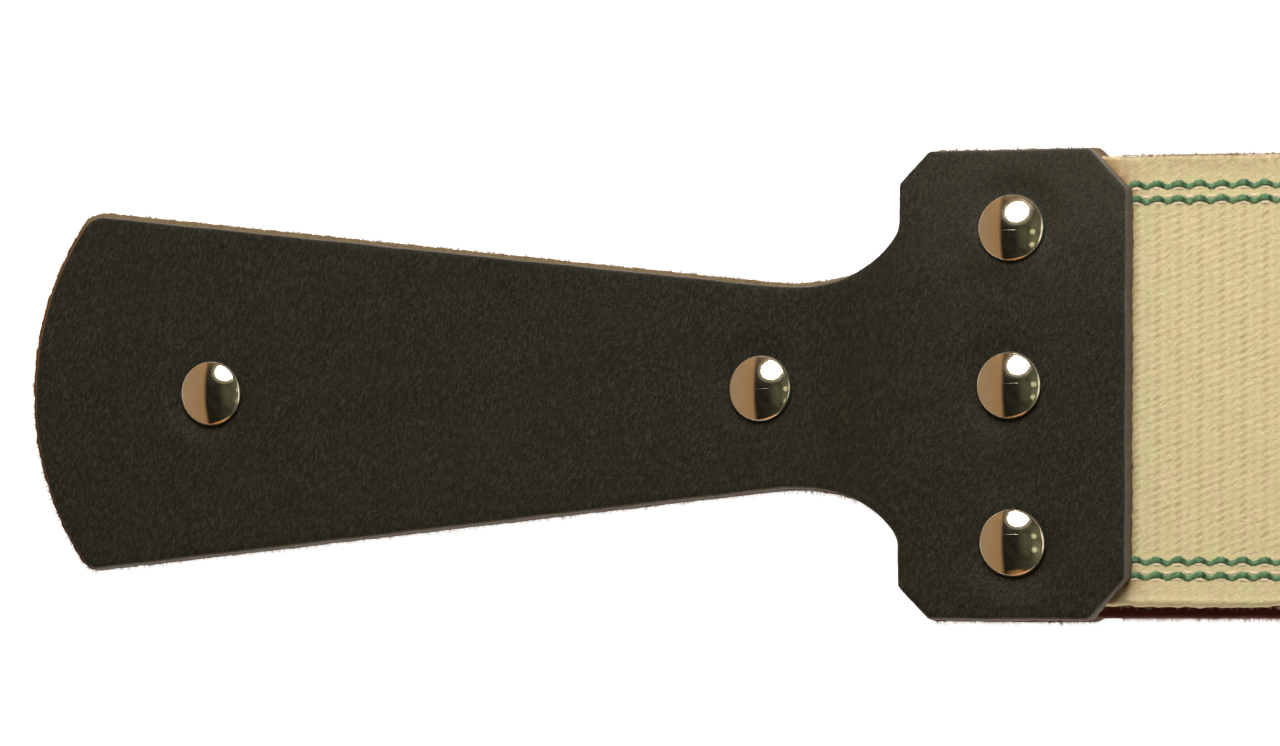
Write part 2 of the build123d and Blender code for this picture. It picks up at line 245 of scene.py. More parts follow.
def rivet_seats(on_tab):
    """Plan position and slopes (x, y, toward +X, toward +Y) of the rivets of the tab or of the handle."""
    found = []
    for name in sorted(RIVET_NAMES):
        if name.startswith("tab") == on_tab:
            low, high = corners(f"rivet_{name}_cap")
            found.append([*(low[:2] + high[:2]) / 2, *lean_of(name)])
    return np.array(found)


# ---------------- mesh helpers


def wave_noise(x, period, seed, loop_length=None):
    """Smooth noise between about -1 and 1, the same every run: a few sines of unlike period. Each fits a
    whole number of times in loop_length, if that is given, so that a closed edge has no jump."""
    random = np.random.default_rng(seed)
    total = np.zeros_like(np.asarray(x, float))
    for turn in (1.0, 0.62, 0.37):
        wave = period * turn
        if loop_length:
            wave = loop_length / round(loop_length / wave)
        total += turn * np.sin(2 * math.pi * x / wave + random.uniform(0, 6.28))
    return total / 1.6


def cell_noise(i, j, seed):
    """A number from 0 to 1 for each whole-number cell, the same every run."""
    mixed = np.sin(i * 127.1 + j * 311.7 + seed * 74.7) * 43758.5453
    return mixed - np.floor(mixed)


def smooth_step(x, low, high):
    """0 below low, 1 above high and a smooth turn between."""
    t = np.clip((x - low) / (high - low), 0, 1)
    return t * t * (3 - 2 * t)


def make_object(name, points, faces, material, attributes=None, outward=False, smooth=True):
    """A mesh object from points in millimetres, with point attributes for its material."""
    mesh = bpy.data.meshes.new(name)
    mesh.from_pydata((np.asarray(points) * MM).tolist(), [], faces)
    if outward:
        shape = bmesh.new()
        shape.from_mesh(mesh)
        bmesh.ops.recalc_face_normals(shape, faces=shape.faces)
        shape.to_mesh(mesh)
        shape.free()
    for key, values in (attributes or {}).items():
        values = np.asarray(values, np.float32)
        kind = "FLOAT_VECTOR" if values.ndim == 2 else "FLOAT"
        attribute = mesh.attributes.new(key, kind, "POINT")
        attribute.data.foreach_set("vector" if values.ndim == 2 else "value", values.ravel())
    if smooth:
        mesh.polygons.foreach_set("use_smooth", [True] * len(mesh.polygons))
    mesh.materials.append(material)
    obj = bpy.data.objects.new(name, mesh)
    bpy.context.scene.collection.objects.link(obj)
    return obj


def hand_over(piece, body=None, node=None):
    """Where they are named, hangs a piece on the body it rides on and hides the CAD node it replaces."""
    if node:
        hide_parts(node)
    if body:
        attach(piece, body)


def ring_faces(rows, columns):
    """Quads between rows of points that are each closed on themselves."""
    row = np.arange(rows - 1)[:, None] * columns
    column = np.arange(columns)[None, :]
    beside = (column + 1) % columns
    quads = np.stack([row + column, row + beside, row + columns + beside, row + columns + column], -1)
    return quads.reshape(-1, 4).tolist()


def tube_faces(rows, columns):
    """Quads between closed rows of points, and a face over each end."""
    last = (rows - 1) * columns
    ends = [list(range(columns)), list(range(last + columns - 1, last - 1, -1))]
    return ring_faces(rows, columns) + ends


def resampled(loop, step):
    """A closed loop with evenly spaced points."""
    closed = np.vstack([loop, loop[:1]])
    along = np.concatenate([[0], np.cumsum(np.linalg.norm(np.diff(closed, axis=0), axis=1))])
    count = int(along[-1] / step)
    places = np.linspace(0, along[-1], count, endpoint=False)
    return np.stack([np.interp(places, along, closed[:, k]) for k in (0, 1)], 1)


def outward_normals(loop):
    """Unit normals of a closed anticlockwise loop, pointing out, eased over its corners."""
    reach = 4
    ahead = np.roll(loop, -1, 0) - np.roll(loop, 1, 0)
    normals = np.stack([ahead[:, 1], -ahead[:, 0]], 1)
    normals = sum(np.roll(normals, shift, 0) for shift in range(-reach, reach + 1))
    return normals / np.linalg.norm(normals, axis=1, keepdims=True)


def anticlockwise(loop):
    """A closed loop, turned round if it runs clockwise."""
    x, y = loop.T
    area = np.sum(x * np.roll(y, -1) - y * np.roll(x, -1))
    return loop if area > 0 else loop[::-1]


def inside_points(loop, step):
    """Grid points inside a loop, a little way in from it, in staggered rows."""
    low, high = loop.min(0), loop.max(0)
    xs = np.arange(low[0] + step / 2, high[0], step)
    ys = np.arange(low[1] + step / 2, high[1], step)
    gx, gy = np.meshgrid(xs, ys, indexing="ij")
    gx = gx + (np.arange(len(ys))[None, :] % 2) * step / 2
    points = np.stack([gx.ravel(), gy.ravel()], 1)
    crossings = np.zeros(len(points), int)
    nearest = np.full(len(points), 1e9)
    for a, b in zip(loop, np.roll(loop, -1, 0)):
        straddles = (a[1] > points[:, 1]) != (b[1] > points[:, 1])
        rise = b[1] - a[1]
        cross_x = a[0] + (points[:, 1] - a[1]) / (rise if rise else 1e-9) * (b[0] - a[0])
        crossings += straddles & (points[:, 0] < cross_x)
        nearest = np.minimum(nearest, np.hypot(*(points - a).T))
    return points[(crossings % 2 == 1) & (nearest > 0.6 * step)]


def rim_rings():
    """The rings of a leather layer's rim, from its grain side round to its flesh side: how far each lies in
    from the outline, its height, how ragged it is, and how much it belongs to the cut wall."""
    r = EDGE_ROUND
    return [
        (1.6, LEATHER, 0.0, 0.0),
        (1.0, LEATHER - 0.01, 0.0, 0.05),
        (0.62 * r + 0.1, LEATHER - 0.06 * r, 0.0, 0.2),
        (0.34 * r, LEATHER - 0.2 * r, 0.1, 0.4),
        (0.12 * r, LEATHER - 0.5 * r, 0.3, 0.6),
        (0.0, LEATHER - 0.95 * r, 0.5, 0.8),
        (0.02, LEATHER * 0.62, 0.8, 1.0),
        (0.0, LEATHER * 0.42, 1.0, 1.0),
        (0.03, LEATHER * 0.22, 1.3, 1.0),
        (0.02, LEATHER * 0.08, 1.6, 1.0),
        (0.16, 0.02, 1.0, 1.0),
        (0.8, 0.0, 0.0, 1.0),
        (1.6, 0.0, 0.0, 1.0),
    ]


def fill_faces(ring, inner, ring_first, inner_first):
    """Triangles that fill a ring over inner points. ring_first and inner_first are where each starts in the
    mesh."""
    count = len(ring)
    cloud = [Vector(p) for p in np.vstack([ring, inner])]
    edges = [(i, (i + 1) % count) for i in range(count)]
    cut = delaunay_2d_cdt(cloud, edges, [], 1, 1e-6)
    source = [ids[0] for ids in cut[3]]
    moved = [ring_first + i if i < count else inner_first + i - count for i in source]
    return [[moved[i] for i in triangle] for triangle in cut[2]]


def leather_layer(name, loop, place, relief, material, seed, splay=None):
    """A leather piece cut along a loop in the flat. place maps flat x, y and the height over the flesh side
    to space, relief lifts the grain side, and splay spreads the flesh side's edge outward."""
    loop = resampled(anticlockwise(loop), OUTLINE_STEP)
    out = outward_normals(loop)
    count = len(loop)
    along = np.arange(count) * OUTLINE_STEP
    length = count * OUTLINE_STEP
    loop = loop + out * (0.04 * wave_noise(along, 17.0, seed, length))[:, None]
    rough = 0.05 * wave_noise(along, 1.9, seed + 1, length) + 0.05 * wave_noise(along, 4.3, seed + 2, length)
    spread = np.zeros(count) if splay is None else splay(loop, out)
    rings = rim_rings()
    inner = inside_points(loop - out * rings[0][0], GRID_STEP)
    flat, height, wall = [], [], []
    for inset, level, ragged, walled in rings:
        shift = -inset + ragged * rough + spread * (1 - level / LEATHER)
        flat.append(loop + out * shift[:, None])
        height.append(np.full(count, level))
        wall.append(np.full(count, walled))
    for level, walled in ((LEATHER, 0.0), (0.0, 1.0)):
        flat.append(inner)
        height.append(np.full(len(inner), level))
        wall.append(np.full(len(inner), walled))
    grain_ring, flesh_ring = flat[0], flat[len(rings) - 1]
    flat, height, wall = (np.concatenate(a) for a in (flat, height, wall))
    face = height / LEATHER
    x, y = flat.T
    lift = relief(x, y) * smooth_step(face, 0.6, 1.0)
    inner_first = len(rings) * count
    faces = ring_faces(len(rings), count)
    faces += fill_faces(grain_ring, inner, 0, inner_first)
    faces += fill_faces(flesh_ring, inner, inner_first - count, inner_first + len(inner))
    data = {"wall": wall, "level": face, "flesh": 1 - smooth_step(face, 0.0, 0.03)}
    data["warm"] = 1 - smooth_step(x - x.min(), 5.0, 11.0)
    # Painted sheen: toward the +Y side of each piece's far end in x, where the material paints the grain
    # paler as the lamp's sheen
    data["faded"] = smooth_step(y, 6.0, 30.0) * smooth_step(x, x.max() - 45.0, x.max() - 20.0)
    return make_object(name, place(x, y, height + lift), faces, material, data, outward=True)


def dimples(seats):
    """Relief of leather drawn down around rivet caps, leaning with each of them."""

    def relief(x, y):
        lift = 0.05 * wave_noise(x + 0.3 * y, 23.0, 5) + 0.04 * wave_noise(y - 0.2 * x, 15.0, 6)
        for cx, cy, lean_x, lean_y in seats:
            near = 1 - smooth_step(np.hypot(x - cx, y - cy), CAP_RADIUS, CAP_RADIUS + DIMPLE_REACH)
            lift -= near * (DIMPLE_DEPTH + lean_x * (x - cx) + lean_y * (y - cy))
        return lift

    return relief


def fibres(name, roots, ways, length, radius, material, seed):
    """Loose hairs: thin tapered three-sided tubes that start at roots and curl a little. length is their mean
    length, and none is over twice that or reaches under the table."""
    random = np.random.default_rng(seed)
    count = len(roots)
    lengths = length * np.minimum(random.gamma(2.0, 0.5, count), 2.0)
    ways = ways + random.normal(0, 0.45, (count, 3))
    ways /= np.linalg.norm(ways, axis=1, keepdims=True)
    bend = random.normal(0, 0.5, (count, 3))
    steps = np.array([0.0, 0.35, 0.7, 1.0])
    side = np.cross(ways, [0.21, 0.37, 0.9])
    side /= np.linalg.norm(side, axis=1, keepdims=True)
    across = np.cross(ways, side)
    points = []
    for step in steps:
        centre = roots + (ways * step + bend * step * step * 0.5) * lengths[:, None]
        for turn in (0.0, 2.094, 4.189):
            reach = radius * (1 - 0.75 * step)
            points.append(centre + reach * (math.cos(turn) * side + math.sin(turn) * across))
    points = np.stack(points, 1).reshape(-1, 3)
    points[:, 2] = np.maximum(points[:, 2], 0.05)
    each = np.array(ring_faces(len(steps), 3))
    ends = np.array([[0, 2, 1], [9, 10, 11]])
    faces = (each[None] + 12 * np.arange(count)[:, None, None]).reshape(-1, 4).tolist()
    faces += (ends[None] + 12 * np.arange(count)[:, None, None]).reshape(-1, 3).tolist()
    return make_object(name, points, faces, material)


# ---------------- shader helpers


class Nodes:
    """The node tree of a new material or world, with short calls that add nodes and link them."""

    def __init__(self, owner):
        owner.use_nodes = True
        self.owner = owner
        self.tree = owner.node_tree
        self.tree.nodes.clear()

    def add(self, kind, inputs=None, **settings):
        node = self.tree.nodes.new(kind)
        for key, value in settings.items():
            setattr(node, key, value)
        for key, value in (inputs or {}).items():
            if isinstance(value, bpy.types.NodeSocket):
                self.tree.links.new(value, node.inputs[key])
            else:
                node.inputs[key].default_value = value
        return node

    def place(self, scale=(1, 1, 1), turn=0.0):
        """The frame's coordinates in millimetres, first turned about Z and then multiplied by scale."""
        where = self.add("ShaderNodeTexCoord").outputs["Object"]
        size = [MM / s for s in scale]
        inputs = {"Vector": where, "Scale": size, "Rotation": (0, 0, turn)}
        return self.add("ShaderNodeMapping", inputs, vector_type="TEXTURE").outputs["Vector"]

    def noise(self, vector, scale, detail=3.0, roughness=0.5, distortion=0.0):
        inputs = {"Vector": vector, "Scale": scale, "Detail": detail}
        inputs.update({"Roughness": roughness, "Distortion": distortion})
        return self.add("ShaderNodeTexNoise", inputs).outputs["Fac"]

    def streaks(self, scale, turn=0.0, detail=3.0, roughness=0.6, distortion=0.0):
        """Noise stretched by unlike scales along the axes, and turned about Z."""
        return self.noise(self.place(scale, turn), 1.0, detail, roughness, distortion)

    def cells(self, vector, scale, feature="F1"):
        inputs = {"Vector": vector, "Scale": scale}
        return self.add("ShaderNodeTexVoronoi", inputs, feature=feature).outputs["Distance"]

    def attribute(self, name, output="Fac"):
        return self.add("ShaderNodeAttribute", attribute_name=name).outputs[output]

    def attribute_axes(self, name):
        """The first two parts of a vector attribute."""
        parts = self.add("ShaderNodeSeparateXYZ", {"Vector": self.attribute(name, "Vector")})
        return parts.outputs[0], parts.outputs[1]

    def math(self, operation, a, b=0.0):
        return self.add("ShaderNodeMath", {0: a, 1: b}, operation=operation).outputs[0]

    def times(self, a, b):
        return self.math("MULTIPLY", a, b)

    def plus(self, a, b):
        return self.math("ADD", a, b)

    def between(self, value, low, high, start=0.0, end=1.0):
        inputs = {"Value": value, "From Min": low, "From Max": high, "To Min": start, "To Max": end}
        return self.add("ShaderNodeMapRange", inputs).outputs["Result"]

    def mix(self, factor, a, b, blend="MIX"):
        """Two colours blended."""
        inputs = {0: factor, 6: a, 7: b}
        return self.add("ShaderNodeMix", inputs, data_type="RGBA", blend_type=blend).outputs[2]

    def mix_values(self, factor, a, b):
        return self.add("ShaderNodeMix", {0: factor, 2: a, 3: b}).outputs[0]

    def ramp(self, value, stops, low, high):
        """Colours at stops over a value's range."""
        node = self.add("ShaderNodeValToRGB", {"Fac": self.between(value, low, high)})
        elements = node.color_ramp.elements
        while len(elements) < len(stops):
            elements.new(0.5)
        for element, (position, tint) in zip(elements, stops):
            element.position = position
            element.color = (*tint, 1)
        return node.outputs["Color"]

    def bump(self, height, distance, strength=1.0, normal=None):
        inputs = {"Height": height, "Distance": distance * MM, "Strength": strength}
        if normal is not None:
            inputs["Normal"] = normal
        return self.add("ShaderNodeBump", inputs).outputs["Normal"]

    def finish(self, tone, rough, extra):
        """The material with its surface: its colour, roughness and any other inputs."""
        inputs = {"Base Color": tone, "Roughness": rough, **extra}
        shader = self.add("ShaderNodeBsdfPrincipled", inputs)
        self.add("ShaderNodeOutputMaterial", {"Surface": shader.outputs[0]})
        return self.owner


def new_material(name):
    """The empty nodes of a new material."""
    return Nodes(bpy.data.materials.new(name))


def colour(red, green, blue):
    """A linear colour from display values of 0 to 255."""
    return [((v / 255 + 0.055) / 1.055) ** 2.4 if v > 10 else v / 3295 for v in (red, green, blue)] + [1]


# ---------------- materials


def black_leather():
    """Fine slanted-wrinkled black grain, grey-brown cut edges, a tan suede flesh side, and a painted sheen:
    the grain painted paler near one far corner of each piece.
    """
    s = new_material("black_leather")
    where = s.place()
    warp = s.noise(where, 0.12, 2.0)
    wrinkles = s.streaks((3.3, 1.05, 2.0), -0.5, 3.0, 0.62, 0.5)
    crossing = s.streaks((3.1, 1.0, 2.0), -0.22, 3.0, 0.62, 0.5)
    wrinkles = s.mix_values(s.between(warp, 0.4, 0.6), wrinkles, crossing)
    pores = s.cells(s.place((2.8, 1.9, 1.9), -0.4), 1.5, "SMOOTH_F1")
    patches = s.noise(where, 0.045, 3.0, 0.6)
    tone = s.mix(patches, colour(22, 23, 17), colour(34, 34, 25))
    ridges = s.between(wrinkles, 0.45, 0.66, 0.0, 0.8)
    grain_tone = s.mix(ridges, tone, colour(62, 61, 47))
    # Painted sheen: the grain is painted paler and greyer there, standing in for the lamp's sheen on the
    # leather
    faded = s.times(s.attribute("faded"), s.between(wrinkles, 0.35, 0.65, 0.3, 0.6))
    grain_tone = s.mix(faded, grain_tone, colour(70, 70, 57))
    specks = s.between(s.noise(where, 1.3, 1.0), 0.8, 0.83)
    grain_tone = s.mix(s.times(specks, 0.25), grain_tone, colour(110, 104, 84))
    threads = s.streaks((0.9, 0.9, 7.0), 0.0, 4.0, 0.7)
    edge_tone = s.mix(threads, colour(82, 76, 71), colour(130, 121, 114))
    raw = s.between(s.attribute("level"), 0.04, 0.2, 1.0, 0.0)
    edge_tone = s.mix(s.times(raw, 0.9), edge_tone, colour(136, 92, 52))
    nap = s.noise(s.place((1.6, 1.6, 1.6)), 1.0, 5.0, 0.75)
    warm = s.mix(nap, colour(92, 54, 24), colour(132, 84, 42))
    beige = s.mix(nap, colour(88, 74, 48), colour(156, 142, 110))
    flesh_tone = s.mix(s.attribute("warm"), beige, warm)
    walled = s.between(s.attribute("wall"), 0.28, 0.62)
    tone = s.mix(walled, grain_tone, edge_tone)
    tone = s.mix(s.attribute("flesh"), tone, flesh_tone)
    grain = s.plus(s.times(wrinkles, 0.8), s.times(pores, 0.35))
    normal = s.bump(s.mix_values(walled, grain, s.plus(threads, nap)), 0.22, 0.8)
    rough = s.between(s.plus(wrinkles, walled), 0.3, 1.3, 0.48, 0.9)
    return s.finish(tone, rough, {"Normal": normal, "Specular IOR Level": 0.25})


def red_leather():
    """Dark red strap leather: smooth burnished face, darker edge, reddish frayed flesh."""
    s = new_material("red_leather")
    where = s.place()
    pores = s.cells(s.place((1.5, 1.5, 1.5)), 1.0)
    patches = s.streaks((0.02, 0.06, 0.06))
    tone = s.mix(patches, colour(66, 24, 17), colour(104, 42, 28))
    streaks = s.streaks((0.06, 0.9, 0.9))
    tone = s.mix(s.between(streaks, 0.4, 0.8, 0.0, 0.5), tone, colour(52, 20, 15))
    threads = s.streaks((0.8, 0.8, 6.0), 0.0, 4.0, 0.7)
    edge_tone = s.mix(threads, colour(58, 20, 16), colour(98, 36, 26))
    tone = s.mix(s.attribute("wall"), tone, edge_tone)
    normal = s.bump(s.plus(pores, s.noise(where, 0.5, 4.0)), 0.05, 0.35)
    normal = s.bump(threads, 0.12, 0.5, normal)
    rough = s.between(s.attribute("wall"), 0.0, 1.0, 0.34, 0.8)
    return s.finish(tone, rough, {"Normal": normal, "Specular IOR Level": 0.45})


def cotton_webbing():
    """Cream cotton in yellower and pinker patches, painted darker in its hollows as shade, dyed and painted
    with shade a little beside the head, and greyer brown along its top edge, partly nap and partly painted
    shade.
    """
    s = new_material("cotton_webbing")
    where = s.place()
    patches = s.between(s.streaks((0.4, 0.2, 0.3), 0.0, 4.0, 0.65), 0.35, 0.65)
    tone = s.mix(patches, colour(234, 227, 176), colour(241, 223, 182))
    # Painted shade: the hollows are painted darker
    tone = s.mix(s.between(s.attribute("hollow_shade"), 0.1, 1.2, 0.0, 0.55), tone, colour(206, 186, 140))
    flecks = s.between(s.noise(where, 1.7, 3.0, 0.65), 0.53, 0.72)
    tone = s.mix(s.times(flecks, 0.4), tone, colour(204, 178, 136))
    glints = s.between(s.noise(where, 2.3, 2.0, 0.6), 0.56, 0.7)
    tone = s.mix(s.times(glints, 0.55), tone, colour(252, 246, 214))
    # Partly dye from the head, partly painted shade beside the head's edge
    dye_and_shade = s.times(s.attribute("dye_and_shade"), s.between(s.noise(where, 0.6, 3.0), 0.3, 0.6, 0.4, 0.9))
    tone = s.mix(dye_and_shade, tone, colour(168, 112, 58))
    # Greyer brown along the top edge: partly the nap's own tone, partly painted shade that dims the edge
    # nearest the lamp
    nap_tone_and_shade = s.times(s.attribute("nap"), s.between(s.noise(where, 1.1, 3.0), 0.3, 0.7, 0.25, 1.0))
    tone = s.mix(nap_tone_and_shade, tone, colour(150, 122, 88))
    lines = s.streaks((2.6, 0.8, 1.5), -0.9)
    fuzz = s.noise(where, 3.4, 4.0, 0.75)
    normal = s.bump(lines, 0.24, 0.6)
    normal = s.bump(fuzz, 0.16, 0.9, normal)
    sheen = {"Sheen Weight": 0.2, "Sheen Roughness": 0.5}
    return s.finish(tone, 0.95, {"Normal": normal, "Specular IOR Level": 0.1, **sheen})


def green_yarn():
    """Dyed cotton yarn: painted darker on its slanting flanks as shade, washed out where it dips between the
    cream yarns.
    """
    s = new_material("green_yarn")
    where = s.place()
    uneven = s.noise(where, 2.0, 4.0, 0.8)
    tone = s.mix(s.between(uneven, 0.3, 0.7), colour(66, 134, 86), colour(150, 190, 144))
    dull = s.between(s.attribute("crest"), 0.0, 0.4, 0.25, 0.0)
    tone = s.mix(dull, tone, colour(160, 190, 160))
    # Painted shade: the yarn's slanting flanks are painted dark green
    dark = s.times(s.attribute("flank_shade"), s.between(uneven, 0.35, 0.6, 1.0, 0.7))
    tone = s.mix(dark, tone, colour(20, 64, 48))
    normal = s.bump(s.noise(where, 3.2, 4.0, 0.8), 0.3, 1.0)
    sheen = {"Sheen Weight": 0.3, "Sheen Roughness": 0.5}
    return s.finish(tone, 0.9, {"Normal": normal, "Specular IOR Level": 0.15, **sheen})


def pale_yarn():
    """Undyed yarn beside the green lines, whiter and a little pinker than the rest."""
    s = new_material("pale_yarn")
    where = s.place()
    tone = s.mix(s.noise(where, 0.9, 3.0, 0.6), colour(236, 224, 186), colour(246, 230, 212))
    tone = s.mix(s.between(s.noise(where, 1.9, 2.0), 0.5, 0.7, 0.0, 0.5), tone, colour(226, 216, 172))
    normal = s.bump(s.noise(where, 5.0, 4.0, 0.75), 0.12, 0.8)
    return s.finish(tone, 0.95, {"Normal": normal, "Specular IOR Level": 0.1})


def plain_fibre(name, tint):
    """Single hairs, too thin to need more than a little change of tone."""
    s = new_material(name)
    lighter = [min(1, c * 1.7) for c in tint[:3]] + [1]
    tone = s.mix(s.noise(s.place(), 0.8, 2.0), tint, lighter)
    return s.finish(tone, 0.9, {"Specular IOR Level": 0.1})


def polished_nickel():
    """Mirror nickel plate over brass, with hairline scratches, handling haze and a setting mark."""
    s = new_material("polished_nickel")
    where = s.place()
    haze = s.noise(where, 0.5, 4.0, 0.7)
    tone = s.mix(haze, colour(222, 212, 190), colour(236, 228, 210))
    hairlines = s.streaks((0.7, 9.0, 3.0), 0.5, 3.0, 0.8)
    x, y = s.attribute_axes("from_mark")
    along = s.between(s.math("ABSOLUTE", x), 0.8, 1.25, 1.0, 0.0)
    across = s.between(s.math("ABSOLUTE", y), 0.015, 0.06, 1.0, 0.0)
    mark = s.times(along, across)
    rough = s.plus(s.between(haze, 0.4, 0.75, 0.09, 0.125), s.times(mark, 0.16))
    normal = s.bump(hairlines, 0.0015, 0.15)
    normal = s.bump(mark, 0.016, 0.4, normal)
    return s.finish(tone, rough, {"Metallic": 1.0, "Normal": normal})


def cast_nickel(name="cast_nickel", ripple=0.02, rough_low=0.12, rough_high=0.3):
    """Nickel plate over a casting or drawn wire, softer than the caps, duller where it is handled."""
    s = new_material(name)
    where = s.place()
    wear = s.noise(where, 0.22, 5.0, 0.65)
    tone = s.mix(wear, colour(196, 190, 178), colour(222, 217, 206))
    rough = s.between(wear, 0.35, 0.7, rough_low, rough_high)
    normal = s.bump(s.noise(where, 0.9, 3.0, 0.6), ripple, 0.5)
    scratches = s.streaks((0.5, 6.0, 6.0), 0.0, 3.0, 0.8)
    normal = s.bump(scratches, 0.006, 0.4, normal)
    return s.finish(tone, rough, {"Metallic": 1.0, "Normal": normal})


def white_floor():
    """A bright lit table, burnt out to white where the lamp reaches it."""
    s = new_material("white_floor")
    glow = {"Emission Color": (1, 1, 1, 1), "Emission Strength": 1.0}
    return s.finish((0.9, 0.9, 0.9, 1), 0.9, glow)


# ---------------- handle and tab


def cut_splay(loop, out):
    """The strap-side and the -Y edges are cut on a slant, so that their flesh side reaches further."""
    near_end = smooth_step(loop[:, 0], HEAD_X - 1.0, HEAD_X - 0.2)
    strap_side = 0.3 * near_end * smooth_step(out[:, 0], 0.85, 0.98)
    return strap_side + 0.32 * smooth_step(-out[:, 1], 0.7, 0.97)


def build_handle(material):
    """Front layer with its step, and the flat back layer with its grain side down."""
    seats = rivet_seats(on_tab=False)
    level_seats = seats * [1, 1, 0, 0]

    def place_front(x, y, height):
        slope = (front_under(x + 0.2) - front_under(x - 0.2)) / 0.4
        lean = 1 / np.sqrt(1 + slope * slope)
        return np.stack([x - height * slope * lean, y, front_under(x) + height * lean], 1)

    def place_back(x, y, height):
        return np.stack([x, y, BACK_HIGH[2] - height], 1)

    loop = outline_of("handle_front_layer")
    front = leather_layer("handle_front", loop, place_front, dimples(seats), material, 11, cut_splay)
    loop = outline_of("handle_back_layer")
    back = leather_layer("handle_back", loop, place_back, dimples(level_seats), material, 21)
    hand_over(front, "handle", "handle_front_layer")
    hand_over(back, "handle", "handle_back_layer")


def build_tab(material):
    """One leather piece folded round the eye's bar."""
    outer = (TAB_HIGH[2] - TAB_LOW[2]) / 2
    inner = outer - LEATHER
    centre_x = TAB_HIGH[0] - outer
    centre_z = (TAB_HIGH[2] + TAB_LOW[2]) / 2
    leg = centre_x - TAB_X
    arc = math.pi * (inner + LEATHER / 2)
    loop = outline_of("hanger_tab")
    first = np.flatnonzero((loop[:, 1] > 0) & (np.roll(loop[:, 1], 1) <= 0))[0]
    upper = np.roll(loop, -first, 0)
    upper = upper[(upper[:, 1] > 0) & (upper[:, 0] < centre_x)][::-1]
    side = upper - [TAB_X, 0]
    folded = np.stack([2 * leg + arc - side[::-1, 0], side[::-1, 1]], 1)
    half = np.vstack([side, folded])
    flat_loop = np.vstack([half, half[::-1] * [1, -1]])

    def place(s, y, height):
        turn = np.clip((s - leg) / arc, 0, 1) * math.pi
        along = np.where(s < leg, s, np.where(s > leg + arc, 2 * leg + arc - s, leg))
        reach = inner + height
        x = TAB_X + along + reach * np.sin(turn)
        z = centre_z + reach * np.cos(turn)
        return np.stack([x, y, z], 1)

    top_seats = rivet_seats(on_tab=True) - [TAB_X, 0, 0, 0]
    low_seats = top_seats * [-1, 1, 1, 1] + [2 * leg + arc, 0, 0, 0]
    relief = dimples(np.vstack([top_seats, low_seats]))
    tab = leather_layer("hanger_tab_leather", flat_loop, place, relief, material, 31)
    hand_over(tab, "tab", "hanger_tab")


def build_edge_hairs():
    """Frayed hairs along the cut edges of both handle layers and of the tab."""
    tan = plain_fibre("tan_fibre", colour(112, 86, 66))
    dark = plain_fibre("dark_fibre", colour(58, 50, 42))
    random = np.random.default_rng(SEED)
    tab_level = TAB_LOW[2] + LEATHER - 0.3
    # name, CAD node, body, height (None follows the front layer), spread, count, length and material
    sets = [
        ("back_edge_hairs", "handle_back_layer", "handle", BACK_HIGH[2] - 0.35, 0.3, 8000, 0.44, tan),
        ("front_edge_hairs", "handle_front_layer", "handle", None, 0.25, 1200, 0.3, dark),
        ("tab_edge_hairs", "hanger_tab", "tab", tab_level, 0.3, 500, 0.5, dark),
    ]
    for name, node, body, level, spread, count, length, material in sets:
        loop = resampled(outline_of(node), 0.2)
        pick = random.integers(0, len(loop), count)
        x, y = loop[pick].T
        middle = front_under(x) + 0.3 if level is None else level
        z = middle + random.uniform(-spread, spread, count)
        ways = np.pad(outward_normals(loop)[pick], ((0, 0), (0, 1)))
        piece = fibres(name, np.stack([x, y, z], 1) - 0.1 * ways, ways, length, 0.035, material, SEED + 1)
        hand_over(piece, body)


# ---------------- straps


def tongue_scale(x):
    """Width factor of a strap: whole along its length, narrow in the tab's loop."""
    shoulder = TAB_X + 26.0
    return 1 - 0.7 * smooth_step(x, shoulder, shoulder + 6.0)


def strap_halves(past):
    """Both halves of the straps by name, each reaching past the edge of the head or of the tab."""
    return [("handle_end", HEAD_X - past, MIDDLE_X), ("tab_end", MIDDLE_X, TAB_X + past)]


def hang_strap_piece(piece, part, node=None):
    """A strap piece rides on the strap, except the pieces at the handle's end and at the tab's end, whose
    placing is only baked into their meshes.
    """
    hand_over(piece, node=node)
    if part == "handle_end":
        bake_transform(piece)
    elif part == "tab_end":
        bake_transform(piece)
    else:
        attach(piece, "strap")


def rounded_section(face_y, under_y, thick, corner, turn_steps, power):
    """A strap's closed cross-section as points y and heights: its face, its +Y edge, its underside and its -Y
    edge. A power under 1 makes the edges fuller than round."""
    turns = np.linspace(math.pi / 2, -math.pi / 2, turn_steps + 1)[1:-1]
    around = corner * np.cos(turns)
    ys = np.concatenate([face_y, face_y[-1] + around, under_y, face_y[0] - around])
    middle = thick / 2
    bulge = middle * (np.sign(np.sin(turns)) * np.abs(np.sin(turns)) ** power)
    face, under = np.full(len(face_y), thick), np.zeros(len(under_y))
    return ys, np.concatenate([face, middle + bulge, under, middle - bulge])


def strap_segment(name, xs, ys, heights, underside, material, attributes):
    """A strap stretch from closed cross-sections: ys and heights hold one row of points for each x."""
    rows, columns = ys.shape
    centre = (STRAP_LOW[1] + STRAP_HIGH[1]) / 2
    x = np.repeat(xs[:, None], columns, 1)
    y = centre + (ys - centre) * tongue_scale(x)
    z = underside(x) + heights
    points = np.stack([x, y, z], -1).reshape(-1, 3)
    faces = ring_faces(rows, columns)
    caps = np.vstack([points[:columns], points[-columns:]])
    total = rows * columns
    faces.append(list(range(total, total + columns)))
    faces.append(list(range(total + 2 * columns - 1, total + columns - 1, -1)))
    data = {key: np.concatenate([v.ravel(), v[0], v[-1]]) for key, v in attributes.items()}
    return make_object(name, np.vstack([points, caps]), faces, material, data)


